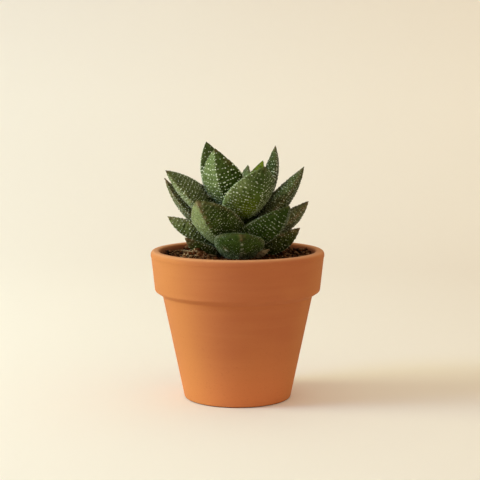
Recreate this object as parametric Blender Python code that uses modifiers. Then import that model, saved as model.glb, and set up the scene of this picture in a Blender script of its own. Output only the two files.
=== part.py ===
"""A small gasteria growing in a terracotta pot, built from its separate pieces.

The pot stands on the ground plane with its axis on Z. It is filled with gritty soil, a short stem
stands in a hole in the soil, and a spiral of thick, keeled, warty leaves grows round the stem.
"""

import math
import random
from collections import namedtuple

import bmesh
import bpy
from mathutils import Matrix, Vector, noise

MM = 0.001

# Pot, as radii and heights above the surface that it stands on
POT_HEIGHT = 90.4 * MM
RIM_RADIUS = 52.7 * MM
COLLAR_FOOT_RADIUS = 50.2 * MM
COLLAR_FOOT_HEIGHT = 66.0 * MM
UNDERCUT_HEIGHT = 62.9 * MM
WALL_TOP_RADIUS = 45.6 * MM
BASE_RADIUS = 32.5 * MM
MOUTH_RADIUS = 47.4 * MM
FLOOR_THICKNESS = 6.0 * MM
FLOOR_RADIUS = 27.6 * MM
DRAIN_RADIUS = 6.0 * MM
POT_SEGMENTS = 36

# Roundings of the pot's corners, and the length of the facets that make them
LIP_ROUND = 2.2 * MM
MOUTH_ROUND = 1.8 * MM
COLLAR_ROUND = 1.6 * MM
UNDERCUT_ROUND = 0.8 * MM
BASE_ROUND = 1.2 * MM
FLOOR_ROUND = 2.5 * MM
ROUNDING_FACET = 1.6 * MM

# Soil: its mean level, and how its top departs from it in heaps, in clods and in crumbs
SOIL_TOP = 86.2 * MM
SOIL_CRUST = 6.0 * MM
SOIL_GAP = 0.3 * MM
CLOD_HEIGHT = 1.3 * MM
CLOD_SIZE = 7.0 * MM
SMALL_CLOD_SIZE = 2.8 * MM
SMALL_CLOD_HEIGHT = 0.65 * MM
CRUMB_HEIGHT = 0.8 * MM
CRUMB_SHIFT = 0.03
CRUMB_SEED = 11
SOIL_SEGMENTS = 36
SOIL_RINGS = 10

# Each heap's x, y, spread and height in millimetres
Heap = namedtuple("Heap", "x y spread height")
HEAPS = [
    Heap(0, 0, 22, 1.5),
    Heap(-24, -27, 8, 6.0),
    Heap(41, 14, 9, 2.2),
    Heap(-42, 6, 8, 1.4),
]

# Stem and rootstock, as (radius, height above the soil) from the growing point down to the root tip
STEM_PROFILE = [
    (0.0, 34.0 * MM),
    (1.6 * MM, 33.4 * MM),
    (3.0 * MM, 30.0 * MM),
    (4.6 * MM, 19.0 * MM),
    (6.2 * MM, 4.0 * MM),
    (6.6 * MM, -6.0 * MM),
    (4.6 * MM, -18.0 * MM),
    (1.8 * MM, -32.0 * MM),
    (0.0, -34.0 * MM),
]
STEM_SEGMENTS = 12

# Leaves: how finely each is faceted, its warts, and the gap left between touching pieces
LEAF_SIDES = 12
LEAF_RINGS = 14
WART_HEIGHT = 0.6 * MM
WART_FIRST = 0.28
WART_LAST = 0.90
CONTACT_GAP = 0.3 * MM
CUTTER_OVERHANG = 1.5

# Points nearer than this are joined, and a sphere's vertex nearer its axis than this is one of its two poles
MERGE_DISTANCE = 0.01 * MM
WELD_DISTANCE = 0.001 * MM
POLE_REACH = 0.001

# A leaf's form, as shares of its length, width and depth, and powers that round its section's two sides
WIDEST_AT = 0.48
BASE_BREADTH = 0.70
BASE_THICKNESS = 0.50
FACE_SHARE = 0.22
ROUNDING = 0.7
PLUMP_ROUNDING = 0.45
KEEL_SHARPNESS = 1.15
TIP_THICKENING = 0.2
FOOT_DEPTH = 0.4

# One leaf. azimuth is in degrees round the stem, anticlockwise from +X, and the camera side is -90.
# foot, reach and rise are millimetres: the foot's height on the stem above the soil, and how far out from
# the stem's axis and how high above the soil the tip is. width and depth are the broadest section's,
# bow is how far the middle bulges outwards, roll in degrees turns the section, lean moves the tip sideways,
# taper is how late the leaf draws in to its tip: 1 makes a straight-sided point and 4 a blunt end, and
# plumpness fills out the flanks, from 0 for a wedge to 1 for a loaf.
LEAF_FIELDS = "name azimuth foot reach rise width depth bow roll lean taper plumpness"
Leaf = namedtuple("Leaf", LEAF_FIELDS, defaults=[0])
LEAVES = [
    Leaf("leaf_crown_left", -127, 31, 22, 66.5, 26, 11, 3, 20, 0, 1.8),
    Leaf("leaf_heart_left", 45, 28, 9, 55.5, 12, 6, 0, 0, 0, 2.0),
    Leaf("leaf_heart_right", 47, 26, 23, 57.5, 15, 7, 0, 5, 0, 2.0),
    Leaf("leaf_crown_front", -65, 25, 31, 56.5, 34, 14, 0, 10, 3, 1.9),
    Leaf("leaf_crown_back", 145, 23, 22, 69.5, 24, 11, 2, -15, 2, 2.2),
    Leaf("leaf_crown_right", 31, 19, 27, 67, 16, 9, 5, 0, 0, 2.3),
    Leaf("leaf_upper_back", 95, 17, 34, 44, 22, 11, 3, 0, 0, 2.0),
    Leaf("leaf_upper_left", -170, 16, 44, 53, 24, 12, -2, -30, 0, 2.2),
    Leaf("leaf_upper_right", 8, 12, 41, 54.5, 20, 11, 1, 12, 0, 2.0),
    Leaf("leaf_middle_back", 120, 12, 40, 36, 24, 11, 3, 0, 0, 2.0),
    Leaf("leaf_middle_back_right", 62, 11, 38, 33, 22, 11, 3, 0, 0, 2.0),
    Leaf("leaf_middle_front_right", -42, 11, 41, 33.5, 26, 13, 2, -10, 0, 1.9),
    Leaf("leaf_middle_back_left", 165, 10, 46.5, 47, 20, 9, 3, -5, 0, 1.8),
    Leaf("leaf_middle_right", -2, 9, 43, 34, 19, 10, 2, 17, 0, 2.4),
    Leaf("leaf_lower_left", -174, 8, 42.5, 25, 20, 10, 0, 18, 0, 2.6),
    Leaf("leaf_middle_front_left", -122, 8, 40, 37, 28, 14, 0, 18, -3, 2.4),
    Leaf("leaf_lower_right", -13, 6, 38.5, 18.5, 20, 11, 2, -13, 0, 2.3),
    Leaf("leaf_lower_back_right", 38, 5, 37, 20, 20, 10, 2, 0, 0, 2.2),
    Leaf("leaf_lower_back", 85, 5, 42, 18, 24, 10, 2, 0, 0, 2.2),
    Leaf("leaf_lower_back_left", 146, 5, 42, 17, 22, 10, 2, 0, 0, 2.2),
    Leaf("leaf_lower_front", -87, 4, 41, 17.8, 29, 14, 0, -5, 0, 4.5, 1),
    Leaf("leaf_bottom_left", -142, 3, 39.5, 14.5, 16, 9, 2, 0, 0, 2.3),
    Leaf("leaf_dried_left", -143, 1, 41, 7, 12, 5, 1, 0, 0, 2.0),
    Leaf("leaf_dried_front", -59, 2, 36, 8, 10, 5, 1, 0, 0, 2.4),
]


def clear_scene():
    for obj in list(bpy.data.objects):
        bpy.data.objects.remove(obj)


def finish(name, hex_colour, roughness):
    """A Principled material whose base colour is given as an sRGB hex value."""
    material = bpy.data.materials.new(name)
    material.use_nodes = True
    shader = material.node_tree.nodes["Principled BSDF"]
    channels = [((hex_colour >> shift) & 255) / 255 for shift in (16, 8, 0)]
    linear = [c / 12.92 if c <= 0.04045 else ((c + 0.055) / 1.055) ** 2.4 for c in channels]
    shader.inputs["Base Color"].default_value = (*linear, 1.0)
    shader.inputs["Roughness"].default_value = roughness
    shader.inputs["Metallic"].default_value = 0.0
    return material


def new_object(name, mesh, material, collection):
    obj = bpy.data.objects.new(name, mesh)
    collection.objects.link(obj)
    if not mesh.materials:
        mesh.materials.append(material)
    return obj


def mesh_of(bm, name):
    mesh = bpy.data.meshes.new(name)
    bm.to_mesh(mesh)
    bm.free()
    return mesh


def rounded(corners):
    """An outline in (radius, height) with each of its (radius, height, rounding) corners made an arc."""
    points = []
    count = len(corners)
    for i, (radius, height, rounding) in enumerate(corners):
        corner = Vector((radius, height))
        if not rounding:
            points.append(corner)
            continue
        to_before = (Vector(corners[i - 1][:2]) - corner).normalized()
        to_after = (Vector(corners[(i + 1) % count][:2]) - corner).normalized()
        half_angle = to_before.angle(to_after) / 2
        centre = corner + (to_before + to_after).normalized() * rounding / math.sin(half_angle)
        start = corner + to_before * rounding / math.tan(half_angle) - centre
        end = corner + to_after * rounding / math.tan(half_angle) - centre
        turn = start.angle_signed(end)
        steps = math.ceil(abs(turn) * rounding / ROUNDING_FACET)
        for step in range(steps + 1):
            points.append(centre + Matrix.Rotation(-turn * step / steps, 2) @ start)
    return points


def turned(name, outline, segments, closed, material, collection):
    """A solid of revolution about Z: the outline, drawn at +X, with a Screw modifier."""
    bm = bmesh.new()
    verts = [bm.verts.new((point[0], 0, point[1])) for point in outline]
    last = len(verts) if closed else len(verts) - 1
    for i in range(last):
        bm.edges.new((verts[i], verts[(i + 1) % len(verts)]))
    obj = new_object(name, mesh_of(bm, name), material, collection)
    screw = obj.modifiers.new("turn", "SCREW")
    screw.steps = segments
    screw.render_steps = segments
    screw.use_merge_vertices = True
    screw.merge_threshold = MERGE_DISTANCE
    screw.use_smooth_shade = True
    return obj


def made_mesh(obj):
    """The object's evaluated shape as a mesh of its own, with coincident points joined."""
    bpy.context.view_layer.update()
    graph = bpy.context.evaluated_depsgraph_get()
    mesh = bpy.data.meshes.new_from_object(obj.evaluated_get(graph))
    obj.modifiers.clear()
    obj.data = mesh
    bm = bmesh.new()
    bm.from_mesh(mesh)
    bmesh.ops.remove_doubles(bm, verts=bm.verts, dist=WELD_DISTANCE)
    bm.to_mesh(mesh)
    bm.free()
    return mesh


def triangulate(mesh):
    """Splits each face into flat triangles, as a cut through a warped face can fail."""
    bm = bmesh.new()
    bm.from_mesh(mesh)
    bmesh.ops.triangulate(bm, faces=bm.faces)
    bm.to_mesh(mesh)
    bm.free()


def cut_away(obj, cutter):
    cut = obj.modifiers.new("cut", "BOOLEAN")
    cut.operation = "DIFFERENCE"
    cut.solver = "EXACT"
    cut.object = cutter
    made_mesh(obj)


def keep_largest_piece(obj):
    """Drops the loose scraps that a cut can leave, and keeps the piece with the most volume."""
    bm = bmesh.new()
    bm.from_mesh(obj.data)
    unseen = set(bm.faces)
    pieces = []
    while unseen:
        front = [unseen.pop()]
        piece = set(front)
        while front:
            for edge in front.pop().edges:
                fresh = [face for face in edge.link_faces if face in unseen]
                unseen.difference_update(fresh)
                piece.update(fresh)
                front.extend(fresh)
        pieces.append(piece)
    volumes = [
        sum(face.calc_center_median().dot(face.normal) * face.calc_area() for face in piece)
        for piece in pieces
    ]
    largest = pieces[volumes.index(max(volumes))]
    scraps = [face for face in bm.faces if face not in largest]
    bmesh.ops.delete(bm, geom=scraps, context="FACES")
    bm.to_mesh(obj.data)
    bm.free()


def pot(material, collection):
    """A pressed terracotta pot: a tapered wall under a deep collar, and a drain hole in its floor."""
    outline = rounded([
        (RIM_RADIUS, POT_HEIGHT, LIP_ROUND),
        (COLLAR_FOOT_RADIUS, COLLAR_FOOT_HEIGHT, COLLAR_ROUND),
        (WALL_TOP_RADIUS, UNDERCUT_HEIGHT, UNDERCUT_ROUND),
        (BASE_RADIUS, 0.0, BASE_ROUND),
        (DRAIN_RADIUS, 0.0, 0.0),
        (DRAIN_RADIUS, FLOOR_THICKNESS, 0.0),
        (FLOOR_RADIUS, FLOOR_THICKNESS, FLOOR_ROUND),
        (MOUTH_RADIUS, POT_HEIGHT, MOUTH_ROUND),
    ])
    return turned("pot", outline, POT_SEGMENTS, True, material, collection)


def inner_radius(height):
    """The radius of the pot's inner wall at a height above the ground."""
    share = (height - FLOOR_THICKNESS) / (POT_HEIGHT - FLOOR_THICKNESS)
    return FLOOR_RADIUS + (MOUTH_RADIUS - FLOOR_RADIUS) * share


def soil_height(x, y):
    """The lie of the soil: a few low heaps and uneven clods."""
    spot = Vector((x, y, 0))
    clods = noise.noise(spot / CLOD_SIZE) * CLOD_HEIGHT
    clods += noise.noise(spot / SMALL_CLOD_SIZE) * SMALL_CLOD_HEIGHT
    heaps = 0.0
    for heap in HEAPS:
        distance = math.hypot(x - heap.x * MM, y - heap.y * MM) / (heap.spread * MM)
        heaps += heap.height * MM * math.exp(-distance ** 2)
    return SOIL_TOP + heaps + clods


def soil(material, collection):
    """The potting mix: it fills the pot to just under the rim, and its top is a rough crumbly surface."""
    bottom = FLOOR_THICKNESS + SOIL_GAP
    below_crust = SOIL_TOP - SOIL_CRUST
    rim = inner_radius(SOIL_TOP) - SOIL_GAP
    outline = [(rim * ring / SOIL_RINGS, SOIL_TOP) for ring in range(SOIL_RINGS + 1)]
    outline.append((inner_radius(below_crust) - SOIL_GAP, below_crust))
    outline.append((inner_radius(bottom + FLOOR_ROUND) - SOIL_GAP, bottom + FLOOR_ROUND))
    outline.append((FLOOR_RADIUS - FLOOR_ROUND - SOIL_GAP, bottom))
    outline.append((0, bottom))
    obj = turned("soil", outline, SOIL_SEGMENTS, False, material, collection)
    mesh = made_mesh(obj)
    draw = random.Random(CRUMB_SEED)
    for vert in mesh.vertices:
        if vert.co.z < below_crust + MM:
            continue
        at_wall = math.hypot(vert.co.x, vert.co.y) > rim - MM
        vert.co.z = soil_height(vert.co.x, vert.co.y) + draw.uniform(-1, 1) * CRUMB_HEIGHT
        if at_wall:
            pull = (inner_radius(vert.co.z) - SOIL_GAP) / rim
        else:
            pull = 1 + draw.uniform(-1, 1) * CRUMB_SHIFT
        vert.co.x *= pull
        vert.co.y *= pull
    triangulate(mesh)
    return obj


def stem(material, collection, axis, swell=0.0):
    """The short stem and its tapering rootstock, or a fatter copy of it that cuts its hole and its seats."""
    outline = [Vector((radius + swell, height)) for radius, height in STEM_PROFILE]
    outline[0] = Vector((0, STEM_PROFILE[0][1] + swell))
    outline[-1] = Vector((0, STEM_PROFILE[-1][1] - swell))
    name = "stem_cutter" if swell else "stem"
    obj = turned(name, outline, STEM_SEGMENTS, False, material, collection)
    obj.parent = axis
    made_mesh(obj)
    return obj


def stem_radius(height):
    """The stem's radius at a height above the soil."""
    for (upper_radius, upper), (lower_radius, lower) in zip(STEM_PROFILE, STEM_PROFILE[1:]):
        if lower <= height <= upper:
            return lower_radius + (upper_radius - lower_radius) * (height - lower) / (upper - lower)
    return 0.0


def midline(leaf, t):
    """A leaf's centre line and its direction at t, from 0 at the stem to 1 at the tip. +X is outwards."""
    foot = Vector((FOOT_DEPTH * stem_radius(leaf.foot * MM), 0, leaf.foot * MM))
    tip = Vector((leaf.reach * MM, 0, leaf.rise * MM))
    along = (tip - foot).normalized()
    outwards = Vector((along.z, 0, -along.x))
    bend = (foot + tip) / 2 + outwards * 2 * leaf.bow * MM
    point = foot * (1 - t) ** 2 + bend * 2 * t * (1 - t) + tip * t ** 2
    slope = (bend - foot) * 2 * (1 - t) + (tip - bend) * 2 * t
    point.y += leaf.lean * MM * t ** 2
    slope.y += leaf.lean * MM * 2 * t
    return point, slope.normalized()


def swelling(t, base, taper):
    """A share of the greatest width or depth: base at the foot, 1 where widest and 0 at the tip."""
    if t < WIDEST_AT:
        return base + (1 - base) * math.sin(math.pi / 2 * t / WIDEST_AT)
    return 1 - ((t - WIDEST_AT) / (1 - WIDEST_AT)) ** taper


def leaf_point(leaf, t, around, swell=0.0):
    """A point on the leaf's skin, or on a skin swell outside it.

    around is 0 at one margin, 90 degrees on the face and 270 on the keel, and None at either end.
    """
    centre, along = midline(leaf, t)
    if around is None:
        return centre + along * swell * CUTTER_OVERHANG * (2 * t - 1)
    side = Vector((0, 1, 0))
    side = (side - along * side.dot(along)).normalized()
    side.rotate(Matrix.Rotation(math.radians(leaf.roll), 3, along))
    face = along.cross(side)
    across = math.cos(around)
    half_width = leaf.width * MM / 2 * swelling(t, BASE_BREADTH, leaf.taper)
    depth = leaf.depth * MM * swelling(t, BASE_THICKNESS, leaf.taper + TIP_THICKENING)
    if math.sin(around) >= 0:
        lift = FACE_SHARE * depth * math.sin(around) ** ROUNDING
    else:
        rounding = ROUNDING + (PLUMP_ROUNDING - ROUNDING) * leaf.plumpness
        lift = (FACE_SHARE - 1) * depth * (1 - abs(across) ** KEEL_SHARPNESS) ** rounding
    return centre + side * (half_width + swell) * across + face * (lift + swell * math.sin(around))


def leaf_mesh(leaf, warty, swell=0.0):
    """A sphere's rings and meridians laid out along the leaf, with every other panel raised as a wart."""
    bm = bmesh.new()
    bmesh.ops.create_uvsphere(bm, u_segments=LEAF_SIDES, v_segments=LEAF_RINGS, radius=1)
    raised = []
    for panel in bm.faces:
        middle = panel.calc_center_median()
        t = 1 - math.acos(middle.z / middle.length) / math.pi
        column = int(math.atan2(middle.y, middle.x) % (2 * math.pi) / (2 * math.pi) * LEAF_SIDES)
        if WART_FIRST < t < WART_LAST and (int(t * LEAF_RINGS) + column) % 2 == 0:
            raised.append(panel)
    for vert in bm.verts:
        t = 1 - math.acos(max(-1.0, min(1.0, vert.co.z))) / math.pi
        at_end = math.hypot(vert.co.x, vert.co.y) < POLE_REACH
        around = None if at_end else math.atan2(vert.co.y, vert.co.x) % (2 * math.pi)
        vert.co = leaf_point(leaf, t, around, swell)
    if bm.calc_volume(signed=True) < 0:
        bmesh.ops.reverse_faces(bm, faces=bm.faces)
    if warty:
        bm.normal_update()
        bmesh.ops.poke(bm, faces=raised, offset=WART_HEIGHT)
    bmesh.ops.triangulate(bm, faces=bm.faces)
    return bm


def leaf_object(leaf, material, collection, axis):
    obj = new_object(leaf.name, mesh_of(leaf_mesh(leaf, True), leaf.name), material, collection)
    obj.parent = axis
    obj.rotation_euler.z = math.radians(leaf.azimuth)
    return obj


def leaf_cutter(leaf, material, collection, axis):
    """A smooth, slightly fatter copy of the leaf, which presses its neighbours back."""
    bm = leaf_mesh(leaf, False, WART_HEIGHT + CONTACT_GAP)
    obj = new_object(leaf.name + "_cutter", mesh_of(bm, leaf.name), material, collection)
    obj.parent = axis
    obj.rotation_euler.z = math.radians(leaf.azimuth)
    obj.display_type = "WIRE"
    obj.hide_render = True
    return obj


def world_box(obj):
    corners = [obj.matrix_world @ vert.co for vert in obj.data.vertices]
    low = Vector([min(corner[k] for corner in corners) for k in range(3)])
    high = Vector([max(corner[k] for corner in corners) for k in range(3)])
    return low, high


def boxes_meet(first, second):
    (low_a, high_a), (low_b, high_b) = first, second
    return all(low_a[k] < high_b[k] and low_b[k] < high_a[k] for k in range(3))


def rosette(material, dry, collection, helpers, axis, stem_cutter):
    """The leaves from the heart outwards. Each is pressed back by the stem and by every younger leaf."""
    cutters = []
    for leaf in LEAVES:
        skin = dry if "dried" in leaf.name else material
        obj = leaf_object(leaf, skin, collection, axis)
        bpy.context.view_layer.update()
        box = world_box(obj)
        cut_away(obj, stem_cutter)
        for cutter, cutter_box in cutters:
            if boxes_meet(box, cutter_box):
                cut_away(obj, cutter)
        keep_largest_piece(obj)
        cutter = leaf_cutter(leaf, material, helpers, axis)
        bpy.context.view_layer.update()
        cutters.append((cutter, world_box(cutter)))
    return cutters


def main():
    clear_scene()
    collection = bpy.data.collections.new("potted_gasteria")
    helpers = bpy.data.collections.new("cutters")
    bpy.context.scene.collection.children.link(collection)
    bpy.context.scene.collection.children.link(helpers)
    helpers.hide_render = True

    clay = finish("terracotta", 0xC0703F, 0.85)
    mix = finish("potting_mix", 0x3A2A20, 0.95)
    skin = finish("leaf_skin", 0x3C5632, 0.55)
    dry = finish("dry_leaf", 0x75684F, 0.80)
    bark = finish("stem_skin", 0x6F6B42, 0.75)

    axis = bpy.data.objects.new("stem_axis", None)
    axis.location = (0, 0, SOIL_TOP)
    collection.objects.link(axis)

    pot(clay, collection)
    earth = soil(mix, collection)
    stem(bark, collection, axis)
    stem_cutter = stem(bark, helpers, axis, swell=CONTACT_GAP)
    stem_cutter.display_type = "WIRE"
    stem_cutter.hide_render = True
    cutters = rosette(skin, dry, collection, helpers, axis, stem_cutter)

    cut_away(earth, stem_cutter)
    earth_box = world_box(earth)
    for cutter, cutter_box in cutters:
        if boxes_meet(earth_box, cutter_box):
            cut_away(earth, cutter)
    keep_largest_piece(earth)


if __name__ == "__main__":
    main()
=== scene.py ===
# %% [markdown]
# # A small warty gasteria in a clay pot
#
# The object is a young succulent: a spiral of thick, three-sided leaves on a short stem, rooted in
# gritty potting mix in a plain terracotta pot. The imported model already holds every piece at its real
# size. This notebook gives each piece its finish: smooth fleshy leaves covered in pale warts, loose
# crumbs of soil, and sanded, unglazed clay.

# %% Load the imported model
import math
import random
from collections import namedtuple

import bmesh
import bpy
from mathutils import Matrix, Vector, noise
from mathutils.bvhtree import BVHTree
from mathutils.kdtree import KDTree


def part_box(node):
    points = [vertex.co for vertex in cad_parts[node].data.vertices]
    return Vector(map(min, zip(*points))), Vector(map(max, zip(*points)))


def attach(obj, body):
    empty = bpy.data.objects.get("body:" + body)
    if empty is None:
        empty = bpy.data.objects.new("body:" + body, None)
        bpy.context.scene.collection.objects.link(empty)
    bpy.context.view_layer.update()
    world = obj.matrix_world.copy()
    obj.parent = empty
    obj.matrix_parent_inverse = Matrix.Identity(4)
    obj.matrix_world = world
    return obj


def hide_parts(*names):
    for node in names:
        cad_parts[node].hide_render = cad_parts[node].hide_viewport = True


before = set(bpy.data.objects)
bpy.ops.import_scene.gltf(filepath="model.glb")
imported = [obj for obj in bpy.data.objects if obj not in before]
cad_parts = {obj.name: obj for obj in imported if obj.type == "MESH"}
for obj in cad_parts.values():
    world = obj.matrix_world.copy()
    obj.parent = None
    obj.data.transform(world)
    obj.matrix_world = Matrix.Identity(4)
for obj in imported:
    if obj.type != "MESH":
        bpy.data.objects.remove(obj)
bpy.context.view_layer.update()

MM = 0.001

# %% [markdown]
# ## Small helpers for meshes
#
# Every piece is drawn in a bmesh, in metres, where it belongs, and its object stays at the origin. A
# bmesh is chosen over a stack of modifiers because its vertices can carry painted values, which the
# materials read. One function makes an object of a finished bmesh, and another lets it ride with the
# model and hides the plain CAD node that it stands for.

# %% Turn a bmesh into a piece
def add_to_scene(name, data):
    """An object at the origin that holds a mesh, a camera or a light."""
    thing = bpy.data.objects.new(name, data)
    bpy.context.scene.collection.objects.link(thing)
    return thing


def smooth_object(name, bm, material):
    """A smooth-shaded object of the bmesh's shape, in one material."""
    mesh = bpy.data.meshes.new(name)
    bm.to_mesh(mesh)
    bm.free()
    mesh.materials.append(material)
    for polygon in mesh.polygons:
        polygon.use_smooth = True
    mesh.calc_loop_triangles()
    print(name, "has", len(mesh.loop_triangles), "triangles")
    return add_to_scene(name, mesh)


def make_piece(name, bm, material, node):
    """Makes a bmesh a piece of the model that rides with its root, in place of the CAD node that it hides.
    """
    piece = smooth_object(name, bm, material)
    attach(piece, "root")
    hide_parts(node)


# %% Small sums that come back all through the notebook
def limited(value):
    """The value, kept from 0 to 1."""
    return min(1.0, max(0.0, value))


def bell(distance, spread):
    """A soft spot: 1 at no distance, about a third at the spread and nearly nothing at twice the spread."""
    return math.exp(-(distance / spread) ** 2)


# %% [markdown]
# ## Copies of one small shape
#
# Warts and crumbs are repeated thousands of times. Each is made once with a bmesh operator and kept as
# a small mesh, and every copy is that mesh, moved into place and added to the bmesh of the piece that
# it belongs to.

# %% Keep a small shape and add copies of it
def small_shape(name, bm, value_name, value_at):
    """A mesh that is copied many times, with a value painted on each vertex by its place."""
    layer = bm.verts.layers.float.new(value_name)
    for vert in bm.verts:
        vert[layer] = value_at(vert.co)
    mesh = bpy.data.meshes.new(name)
    bm.to_mesh(mesh)
    bm.free()
    return mesh


def add_copy(bm, shape, matrix, value_name, strength):
    """Adds a copy of the small shape to the bmesh, placed by the matrix, with its painted value scaled."""
    copy = shape.copy()
    for entry in copy.attributes[value_name].data:
        entry.value *= strength
    copy.transform(matrix)
    bm.from_mesh(copy)
    bpy.data.meshes.remove(copy)


# %% [markdown]
# ## Small helpers for materials
#
# Colours are written as the sRGB hex values that a paint chart gives, and one function turns them into
# the linear values that the shader works with. One more adds a node with its settings and links. Two
# steps come back again and again, so they have functions too: a soft mottling, and a tint wherever the
# mesh is painted.

# %% Colours and nodes
def linear(hex_colour):
    """An sRGB hex colour as linear red, green, blue and alpha."""
    channels = [int(hex_colour[i:i + 2], 16) / 255 for i in (1, 3, 5)]
    return [c / 12.92 if c <= 0.04045 else ((c + 0.055) / 1.055) ** 2.4 for c in channels] + [1.0]


def feed(node, **inputs):
    """Feeds a node's inputs, which are named with underscores for spaces, or with i and a number.

    Each is fed with a value, with a socket, or with another node, whose first output in use it takes.
    """
    for key, value in inputs.items():
        if key[1:].isdigit():
            socket = node.inputs[int(key[1:])]
        else:
            name = key.replace("_", " ")
            socket = next(entry for entry in node.inputs if entry.enabled and entry.name == name)
        if isinstance(value, bpy.types.Node):
            value = next(output for output in value.outputs if output.enabled)
        if isinstance(value, bpy.types.NodeSocket):
            node.id_data.links.new(value, socket)
        else:
            socket.default_value = value


def add_node(tree, kind, settings=None, **inputs):
    """Adds a node of a kind, sets it and feeds its inputs."""
    node = tree.nodes.new("ShaderNode" + kind)
    for key, value in (settings or {}).items():
        setattr(node, key, value)
    feed(node, **inputs)
    return node


# %% Starts and steps of a material
# Settings that make a Mix node mix colours, and a Map Range node ease in and out
COLOURS = {"data_type": "RGBA"}
SMOOTHLY = {"interpolation_type": "SMOOTHSTEP"}
# How large a noise pattern's blotches come out, as a share of one unit of its scale
BLOTCH_SHARE = 0.6


def new_material(name):
    """A material with its Principled shader, and the Object coordinates that its patterns are drawn on."""
    material = bpy.data.materials.new(name)
    material.use_nodes = True
    tree = material.node_tree
    place = add_node(tree, "TexCoord").outputs["Object"]
    return material, tree, tree.nodes["Principled BSDF"], place


def mottling(tree, place, size, detail, low, high, least=0.0, most=1.0):
    """Blotches about size metres across, easing from least where noise is low to most where it is high."""
    blotches = add_node(tree, "TexNoise", Vector=place, Scale=BLOTCH_SHARE / size, Detail=detail)
    return add_node(
        tree, "MapRange", SMOOTHLY, Value=blotches, From_Min=low, From_Max=high, To_Min=least, To_Max=most
    )


def tinted(tree, colour, value_name, tint):
    """The colour turning into a tint, as far as the value of that name is painted on the mesh."""
    painted = add_node(tree, "Attribute", {"attribute_name": value_name}).outputs["Fac"]
    return add_node(tree, "Mix", COLOURS, Factor=painted, A=colour, B=tint)


# %% [markdown]
# ## Camera
#
# The photograph was taken from a little above the plant, through a longish lens. A camera could be set
# by eye, but here its distance, height and lens were fitted, so that they give the same ellipse at the
# rim and the same outline of the pot.

# %% Camera
LOOK_AT = Vector((1.5, 0.0, 96.3)) * MM
CAMERA_DISTANCE = 759.5 * MM
CAMERA_ELEVATION = math.radians(6.65)
LENS = 93.75
SENSOR_WIDTH = 36
NEAREST_SEEN = 50 * MM

camera = add_to_scene("camera", bpy.data.cameras.new("camera"))
towards_camera = Vector((0, -math.cos(CAMERA_ELEVATION), math.sin(CAMERA_ELEVATION)))
camera.location = LOOK_AT + towards_camera * CAMERA_DISTANCE
camera.rotation_euler = towards_camera.to_track_quat("Z", "Y").to_euler()
camera.data.lens = LENS
camera.data.sensor_width = SENSOR_WIDTH
camera.data.clip_start = NEAREST_SEEN
bpy.context.scene.camera = camera
print("camera height in mm:", round(camera.location.z / MM))

# %% [markdown]
# ## Clay pot
#
# A plain pot is pressed from red clay in a turned mould and fired without a glaze. It could be built
# from cylinders and bevels, but its shape is a single outline turned round an axis, so it is drawn once
# and spun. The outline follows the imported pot, a tapered wall under a deep collar, and adds an upright
# band at the lip that stands a little proud of the collar.

# %% Sizes of the pot
POT_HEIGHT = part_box("pot")[1].z
RIM_RADIUS = 52.7 * MM
COLLAR_FOOT_RADIUS = 50.2 * MM
COLLAR_FOOT_HEIGHT = 66.0 * MM
UNDERCUT_HEIGHT = 62.9 * MM
WALL_TOP_RADIUS = 45.6 * MM
BASE_RADIUS = 32.5 * MM
MOUTH_RADIUS = 47.4 * MM
FLOOR_THICKNESS = 6.0 * MM
FLOOR_RADIUS = 27.6 * MM
DRAIN_RADIUS = 6.0 * MM
BAND_DEPTH = 3.6 * MM
BAND_STEP = 0.25 * MM
SOIL_TOP = 86.2 * MM

# How far each corner is rounded
LIP_ROUND = 2.2 * MM
BAND_ROUND = 0.3 * MM
COLLAR_ROUND = 1.6 * MM
UNDERCUT_ROUND = 0.8 * MM
BASE_ROUND = 1.2 * MM
DRAIN_ROUND = 0.5 * MM
FLOOR_ROUND = 2.5 * MM
MOUTH_ROUND = 1.8 * MM

# %% Pot outline
# The longest facet on a rounded corner and on a straight
ROUNDING_FACET = 0.35 * MM
LONGEST_STRAIGHT = 4.0 * MM

# Each corner as radius, height and rounding, from the lip down the outside and up the inside
POT_CORNERS = [
    (RIM_RADIUS, POT_HEIGHT, LIP_ROUND),
    (RIM_RADIUS, POT_HEIGHT - BAND_DEPTH, BAND_ROUND),
    (RIM_RADIUS - BAND_STEP, POT_HEIGHT - BAND_DEPTH - BAND_STEP, BAND_ROUND),
    (COLLAR_FOOT_RADIUS, COLLAR_FOOT_HEIGHT, COLLAR_ROUND),
    (WALL_TOP_RADIUS, UNDERCUT_HEIGHT, UNDERCUT_ROUND),
    (BASE_RADIUS, 0.0, BASE_ROUND),
    (DRAIN_RADIUS, 0.0, DRAIN_ROUND),
    (DRAIN_RADIUS, FLOOR_THICKNESS, DRAIN_ROUND),
    (FLOOR_RADIUS, FLOOR_THICKNESS, FLOOR_ROUND),
    (MOUTH_RADIUS, POT_HEIGHT, MOUTH_ROUND),
]


def rounded(corners):
    """The outline's points, with an arc at each corner."""
    points = []
    for i, (radius, height, rounding) in enumerate(corners):
        corner = Vector((radius, height))
        to_before = (Vector(corners[i - 1][:2]) - corner).normalized()
        to_after = (Vector(corners[(i + 1) % len(corners)][:2]) - corner).normalized()
        half_angle = to_before.angle(to_after) / 2
        centre = corner + (to_before + to_after).normalized() * rounding / math.sin(half_angle)
        start = corner + to_before * rounding / math.tan(half_angle) - centre
        turn = start.angle_signed(corner + to_after * rounding / math.tan(half_angle) - centre)
        count = math.ceil(abs(turn) * rounding / ROUNDING_FACET)
        for step in range(count + 1):
            points.append(centre + Matrix.Rotation(-turn * step / count, 2) @ start)
    return points


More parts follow.
